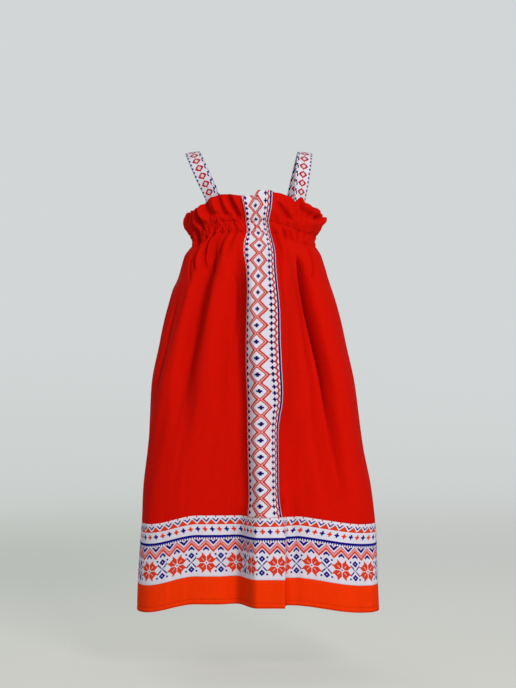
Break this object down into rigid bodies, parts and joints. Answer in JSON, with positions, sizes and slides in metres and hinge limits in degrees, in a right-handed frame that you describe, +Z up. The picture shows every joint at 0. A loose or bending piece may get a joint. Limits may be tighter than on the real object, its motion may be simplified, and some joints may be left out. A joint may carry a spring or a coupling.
{
  "type": "sarafan dress",
  "caption": "Child's sarafan: a red pinafore dress gathered under a frill, with patterned centre band, border and straps.",
  "frame": {"origin": "midway between the tops of the two shoulder straps, at their undersides, where the wearer's shoulders carry the dress", "axes": "+Z up, the front of the dress faces -Y, +X towards the right as seen from the front"},
  "size_m": [0.44, 0.3757, 0.8326],
  "materials": {
    "red_cloth": "plain woven cotton and polyester, matt with a faint sheen",
    "orange_cloth": "plain woven cotton and polyester, matt",
    "patterned_cloth": "white woven cloth with a red and blue counted pattern, matt"
  },
  "bodies": {
    "root": {"front_panel": "red_cloth", "front_border": "patterned_cloth", "front_hem_band": "orange_cloth", "back_panel": "red_cloth", "back_border": "patterned_cloth", "back_hem_band": "orange_cloth", "centre_band": "patterned_cloth", "strap_left": "patterned_cloth", "strap_right": "patterned_cloth"}
  },
  "joints": []
}
